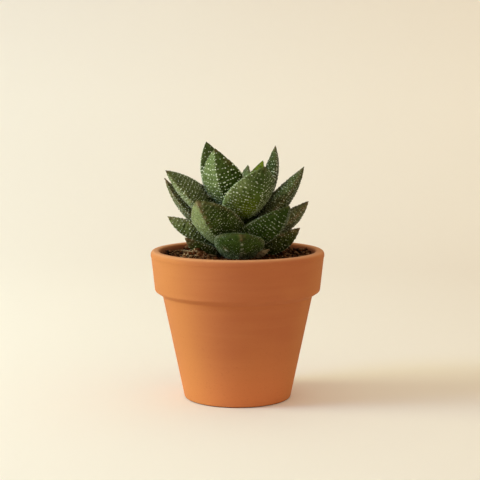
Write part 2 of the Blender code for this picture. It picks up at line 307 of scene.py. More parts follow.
def divided(points):
    """The closed outline again, with its long straights cut into shorter ones."""
    finer = []
    for start, end in zip(points, points[1:] + points[:1]):
        count = math.ceil((end - start).length / LONGEST_STRAIGHT)
        finer.extend(start.lerp(end, step / count) for step in range(count))
    return finer


# %% Spin an outline
MERGE_DISTANCE = 0.01 * MM
POT_STEPS = 160


def spun(outline, count, closed):
    """A form turned about the Z axis from its (radius, height) outline, which is a ring or an open line."""
    bm = bmesh.new()
    verts = [bm.verts.new((radius, 0, height)) for radius, height in outline]
    ends = verts[1:] + verts[:1] if closed else verts[1:]
    for start, end in zip(verts, ends):
        bm.edges.new((start, end))
    line = bm.verts[:] + bm.edges[:]
    bmesh.ops.spin(
        bm, geom=line, axis=(0, 0, 1), cent=(0, 0, 0), steps=count, angle=math.tau, use_merge=True
    )
    bmesh.ops.remove_doubles(bm, verts=bm.verts, dist=MERGE_DISTANCE)
    bmesh.ops.recalc_face_normals(bm, faces=bm.faces)
    return bm


def inner_radius(height):
    """The radius of the pot's inner wall at a height."""
    share = (height - FLOOR_THICKNESS) / (POT_HEIGHT - FLOOR_THICKNESS)
    return FLOOR_RADIUS + (MOUTH_RADIUS - FLOOR_RADIUS) * share


# %% [markdown]
# ## Stains, painted light and painted shade on the clay
#
# Damp soil has stained the clay inside, from a little below the lip down, and that darkening also holds
# painted shade. A thin dark line round the foot is a painted contact shadow. Two sides of the wall are
# painted paler as painted light, the clay towards the foot is painted lighter and redder as light thrown
# up from the paper, and the lip has a pale line of painted highlight with a little wear. An image could
# hold this, but all of it follows the pot's shape, so it is painted on the vertices.

# %% Paint the pot
# The spread of the pale line painted round the lip: painted highlight on its rounded edge, with a little
# wear
LIP_SPREAD = 0.9 * MM
CLEAN_LIP = 1.8 * MM
# The spread of the painted contact shadow along the foot
FOOT_SHADOW = 0.5 * MM
# How far up the wall the painted light thrown up from the paper reaches
FLOOR_BOUNCE_HEIGHT = 24 * MM
# How far outside the inner wall's plain line a spot may lie and still be inside the pot
INSIDE_MARGIN = 0.7 * MM
# Where the wall is painted paler as painted light, as the direction and the spread in degrees and how much
PAINTED_LIT_SIDES = [(215, 32, 0.6), (340, 18, 0.4)]


def stain_and_shade_at(radius, height):
    """How dark the clay is painted: inside from below the lip down to the soil, stain with painted shade,
    and outside at the foot, a painted contact shadow.
    """
    if radius < inner_radius(height) + INSIDE_MARGIN and height > FLOOR_THICKNESS / 2:
        return limited((POT_HEIGHT - CLEAN_LIP - height) / (POT_HEIGHT - CLEAN_LIP - SOIL_TOP))
    # Outside: a painted contact shadow along the foot
    return bell(height, FOOT_SHADOW)


def paint_pot(bm):
    """Paints stain with painted shade, painted light on two sides and at the foot, and a painted highlight
    with wear on the lip.
    """
    names = ("stained", "painted_lit_sides", "painted_floor_bounce", "worn_and_highlit")
    stained, painted_lit_sides, painted_floor_bounce, worn_and_highlit = (bm.verts.layers.float.new(name) for name in names)
    for vert in bm.verts:
        x, y, z = vert.co
        vert[stained] = stain_and_shade_at(math.hypot(x, y), z)
        vert[painted_floor_bounce] = bell(z, FLOOR_BOUNCE_HEIGHT)
        vert[worn_and_highlit] = bell(POT_HEIGHT - z, LIP_SPREAD)
        for middle, spread, share in PAINTED_LIT_SIDES:
            away = (math.degrees(math.atan2(y, x)) - middle + 180) % 360 - 180
            vert[painted_lit_sides] = max(vert[painted_lit_sides], share * bell(away, spread))


# %% [markdown]
# ## Terracotta finish
#
# Unglazed earthenware: fired red clay with fine sand in it, pressed in a mould. It is dull and slightly
# porous, so nothing glints. Its colour drifts from patch to patch with the firing, and the mould leaves
# faint level streaks. Each of these is a mottling of its own size, laid over the last, as a painter
# glazes. Real sand and pores are finer than the render shows, so they are drawn as coarse as they need
# to be.

# %% Terracotta material
PATCH_SIZE = 38 * MM
STREAK_SIZE = 2.5 * MM
# The streaks are a mottling that is drawn out level, all round the pot
STREAK_SQUEEZE = (0.08, 0.08, 1.0)
SAND_SIZE = 0.7 * MM
PORE_SIZE = 0.5 * MM
PORE_DEPTH = 0.1 * MM


def terracotta():
    """Dull fired clay with drifting patches, level streaks, sand and pores, and its painted stains, light
    and shade.
    """
    material, tree, shader, place = new_material("terracotta")
    patches = mottling(tree, place, PATCH_SIZE, 2.0, 0.32, 0.68)
    clay = add_node(tree, "Mix", COLOURS, Factor=patches, A=linear("#AB5F38"), B=linear("#B2683C"))
    level = add_node(tree, "Mapping", Vector=place, Scale=STREAK_SQUEEZE)
    streaks = mottling(tree, level, STREAK_SIZE, 4.0, 0.35, 0.7, 0.0, 0.1)
    streaked = add_node(tree, "Mix", COLOURS, Factor=streaks, A=clay, B=linear("#C8814D"))
    # Painted light: the clay towards the foot is painted lighter and redder, as light thrown up from the
    # paper
    painted_floor_bounce = tinted(tree, streaked, "painted_floor_bounce", linear("#C97543"))
    # Painted light: two sides of the wall are painted paler and yellower
    painted_lit_sides = tinted(tree, painted_floor_bounce, "painted_lit_sides", linear("#C37D40"))
    sand = mottling(tree, place, SAND_SIZE, 2.0, 0.56, 0.75, 0.0, 0.15)
    sanded = add_node(tree, "Mix", COLOURS, Factor=sand, A=painted_lit_sides, B=linear("#954E2B"))
    # A pale line round the lip: painted highlight on its rounded edge, with a little wear
    worn_and_highlit = tinted(tree, sanded, "worn_and_highlit", linear("#D08E5E"))
    # Stain with painted shade inside the pot, and a painted contact shadow at the foot
    stained = tinted(tree, worn_and_highlit, "stained", linear("#3A1D0A"))
    pores = add_node(tree, "TexNoise", Vector=place, Scale=BLOTCH_SHARE / PORE_SIZE, Detail=4.0)
    bump = add_node(tree, "Bump", Strength=0.25, Distance=PORE_DEPTH, Height=pores)
    feed(shader, Base_Color=stained, Roughness=0.88, Specular_IOR_Level=0.25, Normal=bump)
    return material


# %% Press the pot
def press_pot(material):
    """Spins the pot from its outline, paints it and gives it its finish."""
    outline = divided(rounded(POT_CORNERS))
    bm = spun(outline, POT_STEPS, closed=True)
    paint_pot(bm)
    make_piece("clay_pot", bm, material, "pot")


press_pot(terracotta())

# %% [markdown]
# ## Potting mix
#
# The soil is bark, peat and grit, damp and nearly black below, with drier tan crumbs on top. It fills
# the pot, and its top lies in low heaps and clods. The body could be cut from a sculpted block, but a
# spun disc with enough rings can be lifted vertex by vertex, by the same formula of heaps and clods as
# the packed soil.

# %% Lie of the soil
SOIL_RIM = 45.9 * MM
CLOD_SIZE = 7.0 * MM
CLOD_HEIGHT = 1.3 * MM
# How many times finer the small clods are, which are half as high
SMALLER_CLODS = 2.5

# Each heap's x, y, spread and height in millimetres. The dry heap is at the front left
Heap = namedtuple("Heap", "x y spread height")
DRY_HEAP = Heap(-24, -27, 8, 6.0)
HEAPS = [
    Heap(0, 0, 22, 1.5),
    DRY_HEAP,
    Heap(41, 14, 9, 2.2),
    Heap(-42, 6, 8, 1.4),
]


def soil_height(x, y):
    """The height of the soil's surface: its level, its heaps and its clods."""
    spot = Vector((x, y, 0)) / CLOD_SIZE
    clods = (noise.noise(spot) + noise.noise(spot * SMALLER_CLODS) / 2) * CLOD_HEIGHT
    heaps = 0.0
    for heap in HEAPS:
        distance = math.hypot(x - heap.x * MM, y - heap.y * MM)
        heaps += heap.height * MM * bell(distance, heap.spread * MM)
    return SOIL_TOP + heaps + clods


# %% Body of the soil
SOIL_GAP = 0.3 * MM
SOIL_RINGS = 40
SOIL_STEPS = 128
SOIL_SEED = 11
# The height where the soil's side meets the wall, and how far its foot keeps clear of the floor's edge
SIDE_HEIGHT = 40 * MM
FOOT_CLEARANCE = 3 * MM
# Ranges for how far a spot of the top is raised, in millimetres, and for how pale the body is
TOP_ROUGHNESS = (-0.5, 0.3)
BODY_TONES = (0.0, 0.25)


def soil_body(draw):
    """The body of the soil, with a finely broken top."""
    bottom = FLOOR_THICKNESS + SOIL_GAP
    outline = [(SOIL_RIM * ring / SOIL_RINGS, SOIL_TOP) for ring in range(SOIL_RINGS + 1)]
    outline.append((inner_radius(SIDE_HEIGHT) - SOIL_GAP, SIDE_HEIGHT))
    outline.append((FLOOR_RADIUS - FOOT_CLEARANCE, bottom))
    outline.append((0.0, bottom))
    bm = spun(outline, SOIL_STEPS, closed=False)
    tone = bm.verts.layers.float.new("tone")
    for vert in bm.verts:
        if vert.co.z > SOIL_TOP - MM:
            x, y = vert.co.xy
            vert.co.z = soil_height(x, y) + draw.uniform(*TOP_ROUGHNESS) * MM
        vert[tone] = draw.uniform(*BODY_TONES)
    return bm


# %% [markdown]
# ## Crumbs
#
# The top of the mix is loose crumbs of bark and peat, up to four millimetres across, with sharp
# corners. Bump or displacement would make it look like dough, so each crumb is a small solid of twenty
# faces with its corners jittered. A dozen shapes are enough for thousands of crumbs, because each copy
# is turned, squashed and toned by a seeded draw, which is the same each time.

# %% Crumbs
CRUMBS = 6000
CRUMB_SHAPES = 12
CRUMB_JITTER = 0.22
# A crumb's radius in millimetres, as the smallest, the largest and the commonest
CRUMB_SIZES = (0.35, 1.9, 0.6)
# Ranges for a crumb's breadth and thickness, and for its height over the soil, as shares of its radius
CRUMB_BREADTHS = (0.5, 1.0)
CRUMB_THICKNESSES = (0.35, 0.8)
CRUMB_LIFTS = (0.0, 0.7)
# The power that keeps most crumbs dark and few pale
DARK_MAJORITY = 1.6
# How much paler crumbs can be on the dry heap, and over what spread in millimetres
DRY_PALENESS = 0.2
DRY_SPREAD = 14


def crumb_shapes(draw):
    """A dozen differently broken crumbs, about one unit in radius."""
    shapes = []
    for i in range(CRUMB_SHAPES):
        bm = bmesh.new()
        for vert in bmesh.ops.create_icosphere(bm, subdivisions=1, radius=1)["verts"]:
            vert.co += Vector([draw.uniform(-CRUMB_JITTER, CRUMB_JITTER) for _ in range(3)])
        shapes.append(small_shape(f"crumb_{i}", bm, "tone", lambda spot: 1.0))
    return shapes


def scatter_crumbs(bm, draw):
    """Angular crumbs over the whole surface, a little paler round the dry heap."""
    shapes = crumb_shapes(draw)
    for _ in range(CRUMBS):
        reach = (SOIL_RIM - MM) * math.sqrt(draw.random())
        turn = draw.uniform(0, math.tau)
        x, y = reach * math.cos(turn), reach * math.sin(turn)
        size = draw.triangular(*CRUMB_SIZES) * MM
        place = Vector((x, y, soil_height(x, y) + draw.uniform(*CRUMB_LIFTS) * size))
        tilt = Matrix.Rotation(draw.uniform(0, math.tau), 4, Vector((draw.random(), draw.random(), 1)))
        breadth, thickness = draw.uniform(*CRUMB_BREADTHS), draw.uniform(*CRUMB_THICKNESSES)
        stretch = Matrix.Diagonal((size, size * breadth, size * thickness, 1.0))
        away = math.hypot(x / MM - DRY_HEAP.x, y / MM - DRY_HEAP.y)
        paleness = (1 - DRY_PALENESS) * draw.random() ** DARK_MAJORITY
        paleness += DRY_PALENESS * bell(away, DRY_SPREAD) * draw.random()
        add_copy(bm, draw.choice(shapes), Matrix.Translation(place) @ tilt @ stretch, "tone", paleness)


# %% [markdown]
# ## Flakes
#
# Between the crumbs lie papery flakes of bark and dead leaf, cream to brown and tipped at all angles.
# Most have gathered on the dry heap. A plane would vanish when seen edge on, so a flake is a thin slab:
# a cube with its long edges cut, drawn in to its ends and bent up at both.

# %% Flakes
# Where flakes lie, as x, y and spread in millimetres and how many
FLAKES = [(-28, -26, 6, 100), (-22, -29, 5, 40), (29, -33, 3, 9), (18, -36, 4, 6), (0, 0, 40, 90)]
FLAKE_CUTS = 3
# A flake's form, in shares of its half length
FLAKE_BREADTH = 0.35
FLAKE_NARROWING = 0.15
FLAKE_THICKNESS = 0.09
FLAKE_CURL = 0.35
# Ranges for its half length and for its height over the soil, in millimetres, and for how pale it is
FLAKE_SIZES = (0.5, 1.5)
FLAKE_LIFTS = (0.3, 1.0)
FLAKE_TONES = (0.3, 1.0)
# How far it is usually tipped, in radians, lengthways and sideways
FLAKE_PITCH = 0.6
FLAKE_BANK = 0.8


def flake_shape():
    """A curled flake, two units long: a thin slab bent along its length."""
    bm = bmesh.new()
    bmesh.ops.create_cube(bm, size=2)
    long_edges = [edge for edge in bm.edges if abs(edge.verts[0].co.x - edge.verts[1].co.x) > 1]
    bmesh.ops.subdivide_edges(bm, edges=long_edges, cuts=FLAKE_CUTS)
    for vert in bm.verts:
        vert.co.y *= FLAKE_BREADTH - FLAKE_NARROWING * abs(vert.co.x)
        vert.co.z = FLAKE_THICKNESS * vert.co.z + FLAKE_CURL * vert.co.x ** 2
    return small_shape("flake", bm, "tone", lambda spot: 1.0)


def scatter_flakes(bm, draw):
    """Flakes in the places where they gather, apart from any that would fall outside the soil."""
    shape = flake_shape()
    for around_x, around_y, spread, count in FLAKES:
        for _ in range(count):
            x = (around_x + draw.gauss(0, spread / 2)) * MM
            y = (around_y + draw.gauss(0, spread / 2)) * MM
            if math.hypot(x, y) > SOIL_RIM - 2 * MM:
                continue
            size = draw.uniform(*FLAKE_SIZES) * MM
            place = Vector((x, y, soil_height(x, y) + draw.uniform(*FLAKE_LIFTS) * MM))
            tilt = Matrix.Rotation(draw.uniform(0, math.tau), 4, "Z")
            tilt @= Matrix.Rotation(draw.gauss(0, FLAKE_PITCH), 4, "Y")
            tilt @= Matrix.Rotation(draw.gauss(0, FLAKE_BANK), 4, "X")
            matrix = Matrix.Translation(place) @ tilt @ Matrix.Scale(size, 4)
            add_copy(bm, shape, matrix, "tone", draw.uniform(*FLAKE_TONES))


# %% [markdown]
# ## Potting mix finish
#
# Composted bark and peat: a damp, fibrous, lightless brown. Its crumbs are the same stuff at every
# stage of drying, and a few are pale grit. A pattern in space would run on from one crumb to the next,
# so each crumb carries a painted tone of its own, from nearly black to cream.

# %% Potting mix material
FIBRE_SIZE = 0.5 * MM
FIBRE_DEPTH = 0.2 * MM
DAMP = "#100703"
DRY_STAGES = [(0.25, "#50260B"), (0.55, "#74492A"), (0.8, "#967653")]
CREAM = "#DCC49C"


def potting_mix():
    """Lightless crumbs, coloured by their painted tone and darkened between their fibres."""
    material, tree, shader, place = new_material("potting_mix")
    tone = add_node(tree, "Attribute", {"attribute_name": "tone"}).outputs["Fac"]
    ramp = add_node(tree, "ValToRGB", Fac=tone)
    stops = ramp.color_ramp.elements
    stops[0].color = linear(DAMP)
    stops[1].color = linear(CREAM)
    for position, colour in DRY_STAGES:
        stops.new(position).color = linear(colour)
    fibre = mottling(tree, place, FIBRE_SIZE, 3.0, 0.35, 0.65, 0.55, 1.0)
    fibrous = add_node(tree, "Mix", COLOURS, Factor=fibre, A=linear("#0E0803"), B=ramp)
    bump = add_node(tree, "Bump", Strength=0.5, Distance=FIBRE_DEPTH, Height=fibre)
    feed(shader, Base_Color=fibrous, Roughness=0.92, Specular_IOR_Level=0.05, Normal=bump)
    return material


# %% Fill the pot
def fill_with_soil(material):
    """The body of the soil, then its crumbs and its flakes, all from one seeded draw."""
    draw = random.Random(SOIL_SEED)
    bm = soil_body(draw)
    scatter_crumbs(bm, draw)
    scatter_flakes(bm, draw)
    make_piece("potting_mix", bm, material, "soil")


fill_with_soil(potting_mix())

# %% [markdown]
# ## The rosette
#
# Gasteria leaves are wedges of water-filled flesh: flat or slightly hollow above, keeled below, widest
# near the middle and drawn to a short point. They grow one by one from the stem. One leaf could be
# modelled and copied, but no two here are alike, so each has a row in a table: its place on the stem,
# where its tip ends up and its form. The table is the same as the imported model's, and runs from the top
# of the stem down.

# %% Leaf table
# azimuth is in degrees round the stem, anticlockwise from +X. foot, reach and rise are millimetres: the
# foot's height above the soil, and how far out and how high the tip is. width and depth are the
# broadest section's, bow is how far the middle bulges outwards, roll in degrees turns the section, lean
# moves the tip sideways, taper is how late the leaf draws in to its tip, and plumpness fills out the
# flanks, from wedge to loaf.
LEAF_FIELDS = "name azimuth foot reach rise width depth bow roll lean taper plumpness"
Leaf = namedtuple("Leaf", LEAF_FIELDS, defaults=[0])
LEAVES = [
    Leaf("leaf_crown_left", -127, 31, 22, 66.5, 26, 11, 3, 20, 0, 1.8),
    Leaf("leaf_heart_left", 45, 28, 9, 55.5, 12, 6, 0, 0, 0, 2.0),
    Leaf("leaf_heart_right", 47, 26, 23, 57.5, 15, 7, 0, 5, 0, 2.0),
    Leaf("leaf_crown_front", -65, 25, 31, 56.5, 34, 14, 0, 10, 3, 1.9),
    Leaf("leaf_crown_back", 145, 23, 22, 69.5, 24, 11, 2, -15, 2, 2.2),
    Leaf("leaf_crown_right", 31, 19, 27, 67, 16, 9, 5, 0, 0, 2.3),
    Leaf("leaf_upper_back", 95, 17, 34, 44, 22, 11, 3, 0, 0, 2.0),
    Leaf("leaf_upper_left", -170, 16, 44, 53, 24, 12, -2, -30, 0, 2.2),
    Leaf("leaf_upper_right", 8, 12, 41, 54.5, 20, 11, 1, 12, 0, 2.0),
    Leaf("leaf_middle_back", 120, 12, 40, 36, 24, 11, 3, 0, 0, 2.0),
    Leaf("leaf_middle_back_right", 62, 11, 38, 33, 22, 11, 3, 0, 0, 2.0),
    Leaf("leaf_middle_front_right", -42, 11, 41, 33.5, 26, 13, 2, -10, 0, 1.9),
    Leaf("leaf_middle_back_left", 165, 10, 46.5, 47, 20, 9, 3, -5, 0, 1.8),
    Leaf("leaf_middle_right", -2, 9, 43, 34, 19, 10, 2, 17, 0, 2.4),
    Leaf("leaf_lower_left", -174, 8, 42.5, 25, 20, 10, 0, 18, 0, 2.6),
    Leaf("leaf_middle_front_left", -122, 8, 40, 37, 28, 14, 0, 18, -3, 2.4),
    Leaf("leaf_lower_right", -13, 6, 38.5, 18.5, 20, 11, 2, -13, 0, 2.3),
    Leaf("leaf_lower_back_right", 38, 5, 37, 20, 20, 10, 2, 0, 0, 2.2),
    Leaf("leaf_lower_back", 85, 5, 42, 18, 24, 10, 2, 0, 0, 2.2),
    Leaf("leaf_lower_back_left", 146, 5, 42, 17, 22, 10, 2, 0, 0, 2.2),
    Leaf("leaf_lower_front", -87, 4, 41, 17.8, 29, 14, 0, -5, 0, 4.5, 1),
    Leaf("leaf_bottom_left", -142, 3, 39.5, 14.5, 16, 9, 2, 0, 0, 2.3),
    Leaf("leaf_dried_left", -143, 1, 41, 7, 12, 5, 1, 0, 0, 2.0),
    Leaf("leaf_dried_front", -59, 2, 36, 8, 10, 5, 1, 0, 0, 2.4),
]

# %% Stem
# The outline's radius and height above the soil in millimetres, from its growing point to its root tip
STEM_OUTLINE = [
    (0.0, 34.0), (1.6, 33.4), (3.0, 30.0), (4.6, 19.0), (6.2, 4.0), (6.6, -6.0), (4.6, -18.0), (1.8, -32.0),
    (0.0, -34.0),
]


def stem_radius(height):
    """The stem's radius in millimetres at a height above the soil."""
    for (upper_radius, upper), (lower_radius, lower) in zip(STEM_OUTLINE, STEM_OUTLINE[1:]):
        if lower <= height <= upper:
            return lower_radius + (upper_radius - lower_radius) * (height - lower) / (upper - lower)
    return 0.0


# %% [markdown]
# ## The shape of one leaf
#
# A leaf could be sculpted or lofted by hand. A formula is chosen here, because it also says where any
# wart or mark stands on the skin. A point is found in two steps. The midline is a gentle curve from the
# stem to the tip, and round it runs a section with two margins, a shallow face above and a keel below.
# Near the tip the keel is a crisp ridge between two flat flanks, and towards the foot it swells and
# rounds off.

# %% Midline of a leaf
WIDEST_AT = 0.48
FOOT_DEPTH = 0.4


def midline(leaf, t):
    """A leaf's centre and direction at t, from 0 at the stem to 1 at the tip, before it is turned round."""
    foot = Vector((FOOT_DEPTH * stem_radius(leaf.foot), 0, leaf.foot))
    tip = Vector((leaf.reach, 0, leaf.rise))
    along = (tip - foot).normalized()
    bend = (foot + tip) / 2 + Vector((along.z, 0, -along.x)) * 2 * leaf.bow
    point = foot * (1 - t) ** 2 + bend * 2 * t * (1 - t) + tip * t ** 2
    slope = (bend - foot) * 2 * (1 - t) + (tip - bend) * 2 * t
    point.y += leaf.lean * t ** 2
    slope.y += leaf.lean * 2 * t
    return point * MM, slope.normalized()


def swelling(t, base, taper):
    """A share of the greatest width or depth: base at the foot, 1 where widest and 0 at the tip."""
    if t < WIDEST_AT:
        return base + (1 - base) * math.sin(math.pi / 2 * t / WIDEST_AT)
    return 1 - ((t - WIDEST_AT) / (1 - WIDEST_AT)) ** taper


# %% Section of a leaf
BASE_BREADTH = 0.70
BASE_THICKNESS = 0.50
TIP_THICKENING = 0.2
FACE_SHARE = 0.22
# The section turns crisper from this t to the tip. The powers that round its face, keel and flanks are
# given as they are near the foot, each with how much it changes by the tip
CRISP_FROM = 0.3
FACE_ROUNDING = 0.7
FACE_CRISPING = 0.4
KEEL_SHARPNESS = 1.3
KEEL_CRISPING = 0.25
FLANK_ROUNDING = 0.68
FLANK_CRISPING = 0.2
PLUMP_ROUNDING = 0.45


def section(leaf, t, around):
    """How far a point of the section lies sideways and facewards of the midline, in metres."""
    across = math.cos(around)
    half_width = leaf.width / 2 * swelling(t, BASE_BREADTH, leaf.taper)
    depth = leaf.depth * swelling(t, BASE_THICKNESS, leaf.taper + TIP_THICKENING)
    crispness = max(0.0, (t - CRISP_FROM) / (1 - CRISP_FROM))
    if math.sin(around) >= 0:
        lift = FACE_SHARE * depth * math.sin(around) ** (FACE_ROUNDING + FACE_CRISPING * crispness)
    else:
        flank = 1 - abs(across) ** (KEEL_SHARPNESS - KEEL_CRISPING * crispness)
        rounding = FLANK_ROUNDING + FLANK_CRISPING * crispness
        rounding += (PLUMP_ROUNDING - rounding) * leaf.plumpness
        lift = (FACE_SHARE - 1) * depth * flank ** rounding
    return half_width * across * MM, lift * MM


# %% Points on a leaf's skin
# The last spot along a leaf where its skin still has breadth, and a step for measuring its slopes
NEAR_TIP = 0.999
SLOPE_STEP = 0.02


def skin_point(leaf, t, around):
    """A point on the leaf's skin, in the model's own place."""
    centre, along = midline(leaf, t)
    side = Vector((0, 1, 0))
    side = (side - along * side.dot(along)).normalized()
    side.rotate(Matrix.Rotation(math.radians(leaf.roll), 3, along))
    sideways, lift = section(leaf, t, around)
    point = centre + side * sideways + along.cross(side) * lift
    point.rotate(Matrix.Rotation(math.radians(leaf.azimuth), 3, "Z"))
    point.z += SOIL_TOP
    return point


def slope_round(leaf, t, around):
    """The slope of the skin round the leaf."""
    return skin_point(leaf, t, around + SLOPE_STEP) - skin_point(leaf, t, around - SLOPE_STEP)


def skin_normal(leaf, t, around):
    """The outward direction of the skin, from its slopes along and round the leaf."""
    ahead = skin_point(leaf, min(t + SLOPE_STEP, NEAR_TIP), around)
    slope_along = ahead - skin_point(leaf, t - SLOPE_STEP, around)
    outwards = slope_along.cross(slope_round(leaf, t, around)).normalized()
    heart = skin_point(leaf, t, math.pi / 2).lerp(skin_point(leaf, t, 3 * math.pi / 2), 0.5)
    return outwards if outwards.dot(skin_point(leaf, t, around) - heart) > 0 else -outwards


# %% [markdown]
# ## How each leaf looks
#
# A gasteria's leaves differ with their age and their place. Young ones are clean and green with white
# warts. Old ones are dull and rough, with brown margins. Skin that faces the window is painted paler,
# partly as dust and partly as painted light from the window.
# These could be two dozen materials. It is simpler to have one skin and a few values for each leaf,
# read off the photograph, with a usual look for the hidden leaves and the dried ones.

# %% Looks of the leaves
# age runs from 0 for a fresh leaf to 1 for one whose flesh is dull and rough and whose margins are
# brown. chalk is how white its warts are, and the third value is how pale the skin on the window's side
# is painted, as dust and as painted light. haze is how much of that paleness is painted on its other
# sides too, which is dust and also lightens sides in shade, and fineness scales its warts and the gaps
# between them.
Look = namedtuple("Look", "age chalk bloom haze fineness")
USUAL_LOOK = Look(0.6, 0.5, 0.4, 0.1, 0.85)
LOOKS = {
    "leaf_crown_left": Look(0.2, 1.0, 0.66, 0.0, 1.0),
    "leaf_heart_left": Look(0.3, 0.7, 0.8, 0.1, 0.9),
    "leaf_heart_right": Look(0.0, 0.4, 0.2, 0.0, 0.9),
    "leaf_crown_front": Look(0.1, 0.7, 1.25, 0.1, 0.9),
    "leaf_crown_back": Look(0.1, 1.3, 0.8, 0.3, 1.0),
    "leaf_crown_right": Look(0.4, 0.9, 0.1, 0.0, 0.9),
    "leaf_upper_left": Look(0.3, 0.85, 0.75, 0.5, 0.8),
    "leaf_upper_right": Look(0.65, 0.5, 0.2, 0.1, 0.85),
    "leaf_middle_back_left": Look(0.8, 0.7, 0.3, 0.6, 0.8),
    "leaf_middle_front_right": Look(0.15, 0.4, 0.03, 0.0, 0.85),
    "leaf_middle_right": Look(0.8, 0.5, 0.5, 0.35, 0.8),
    "leaf_middle_front_left": Look(0.35, 0.4, 1.05, 0.0, 0.7),
    "leaf_lower_left": Look(0.5, 0.65, 0.5, 0.2, 0.85),
    "leaf_lower_right": Look(0.7, 0.5, 0.1, 0.0, 0.8),
    "leaf_lower_front": Look(0.25, 0.5, 0.0, 0.0, 0.5),
    "leaf_bottom_left": Look(0.5, 0.45, 0.05, 0.0, 0.8),
}
# The leaf whose tip shows young, yellow-green flesh
YOUNG_LEAF = "leaf_heart_right"


def look_of(leaf):
    """The leaf's own look, or the usual one for a leaf that is hidden or dried."""
    return LOOKS.get(leaf.name, USUAL_LOOK)


def is_dried(leaf):
    """Whether the leaf is one of the two dead ones on the soil."""
    return "dried" in leaf.name


# %% Rows across a leaf
ROW_SPACING = 2.6 * MM
FIRST_ROW = 0.16
LAST_ROW = 0.96
# How close warts stand at the foot, as a share of their usual spacing, and how much wider at the tip
FOOT_CROWDING = 0.65
TIP_WIDENING = 0.45


def leaf_length(leaf):
    """The straight distance in metres from a leaf's foot to its tip."""
    foot, tip = midline(leaf, 0)[0], midline(leaf, 1)[0]
    return (tip - foot).length


def crowding(t):
    """The spacing of warts at t, as a share of the usual one. They stand closest near the foot."""
    return FOOT_CROWDING + TIP_WIDENING * t


def row_places(leaf):
    """Where along the leaf each row of warts crosses it."""
    spacing = ROW_SPACING * look_of(leaf).fineness / leaf_length(leaf)
    rows = [FIRST_ROW]
    while rows[-1] < LAST_ROW:
        rows.append(rows[-1] + spacing * crowding(rows[-1]))
    return rows


# %% [markdown]
# ## Skin of a leaf
#
# Under its warts the skin isn't smooth: it is pebbled at about a millimetre, rises in a low ridge under
# each row, and swells and dips a little here and there. Bump alone would leave the outline too clean,
# so the mesh is fine enough to carry the relief itself. It starts as a sphere, whose rings and
# meridians are laid out along the leaf, and whose two poles close its ends.

# %% Skin of one leaf
LEAF_SIDES = 72
LEAF_RINGS = 104
RIDGE_HEIGHT = 0.07 * MM
PEBBLE_SIZE = 1.2 * MM
PEBBLE_HEIGHT = 0.25 * MM
DIP_SIZE = 3 * MM
DIP_DEPTH = 0.2 * MM
# How strong the relief is on a fresh leaf, and how much stronger on an old one
FRESH_RELIEF = 0.7
AGED_RELIEF = 0.8
# How much deeper the dips of a dried leaf are
DRIED_WRINKLING = 3.0
# How quickly the skin between pebbles counts as a furrow
FURROW_GAIN = 1.8
# The sphere's poles lie inside the leaf's ends by this share of its length
POLE_INSET = 0.0001


def ridge(rows, t):
    """How far the skin is raised at t, from a low ridge under each row of warts to a dip between rows."""
    for start, end in zip(rows, rows[1:]):
        if start <= t < end:
            return RIDGE_HEIGHT * math.cos(math.tau * (t - start) / (end - start))
    return 0.0


def leaf_skin(leaf):
    """A sphere laid out along the leaf, with ridges, pebbles and dips.

    How far each spot is sunk between pebbles is kept on the mesh, because the material paints shade into
    those furrows.
    """
    rows = row_places(leaf)
    relief = FRESH_RELIEF + AGED_RELIEF * look_of(leaf).age
    wrinkling = DRIED_WRINKLING if is_dried(leaf) else 1.0
    raised = {}
    bm = bmesh.new()
    furrow = bm.verts.layers.float.new("furrow")
    bmesh.ops.create_uvsphere(bm, u_segments=LEAF_SIDES, v_segments=LEAF_RINGS, radius=1)
    for vert in bm.verts:
        t = 1 - math.acos(max(-1.0, min(1.0, vert.co.z))) / math.pi
        around = math.atan2(vert.co.y, vert.co.x) % math.tau
        vert.co = skin_point(leaf, min(max(t, POLE_INSET), 1 - POLE_INSET), around)
        raised[vert] = ridge(rows, t) * relief
    if bm.calc_volume(signed=True) < 0:
        bmesh.ops.reverse_faces(bm, faces=bm.faces)
    bm.normal_update()
    for vert in bm.verts:
        pebble = noise.noise(vert.co / PEBBLE_SIZE) * relief
        vert[furrow] = limited(-FURROW_GAIN * pebble)
        dip = noise.noise(vert.co / DIP_SIZE) * DIP_DEPTH * wrinkling
        vert.co += vert.normal * (raised[vert] + pebble * PEBBLE_HEIGHT + dip)
    return bm


# %% [markdown]
# ## Warts
#
# The pale dots are tubercles: blisters of hard, white skin a millimetre across. They stand in rows
# across the leaf, a little closer along the margins and the keel, which makes those edges look
# saw-toothed. A texture of dots would be quicker, but it can't stand out against the light along an
# edge. So each wart is a small flattened ball, sunk to its waist in the skin.

# %% Even steps round a leaf
SECTION_STEPS = 48
# No step of the perimeter is taken to be shorter than this, in metres
SHORTEST_STEP = 1e-9


def around_by_length(leaf, t):
    """The section's perimeter, and a function from a length along it to the angle around."""
    turns = [math.tau * i / SECTION_STEPS for i in range(SECTION_STEPS + 1)]
    points = [Vector(section(leaf, t, turn)) for turn in turns]
    lengths = [0.0]
    for start, end in zip(points, points[1:]):
        lengths.append(lengths[-1] + (end - start).length)

    def angle_at(length):
        for i in range(SECTION_STEPS):
            if length <= lengths[i + 1]:
                share = (length - lengths[i]) / max(lengths[i + 1] - lengths[i], SHORTEST_STEP)
                return turns[i] + share * (turns[i + 1] - turns[i])
        return math.tau

    return lengths[-1], angle_at


# %% Places of the warts in rows
WART_SPACING = 2.2 * MM
WART_RADIUS = 0.48 * MM
FEWEST_IN_ROW = 3
MISSING_SHARE = 0.08
# How far a wart strays, as a share of the spacing. Across its row it strays further on an old leaf
STRAY_ALONG = 0.3
STRAY_ACROSS = 0.12
AGED_STRAY_ACROSS = 0.25
WART_SIZES = (0.6, 1.2)
STRETCHES = (1.0, 1.1, 1.3, 1.6, 2.2)
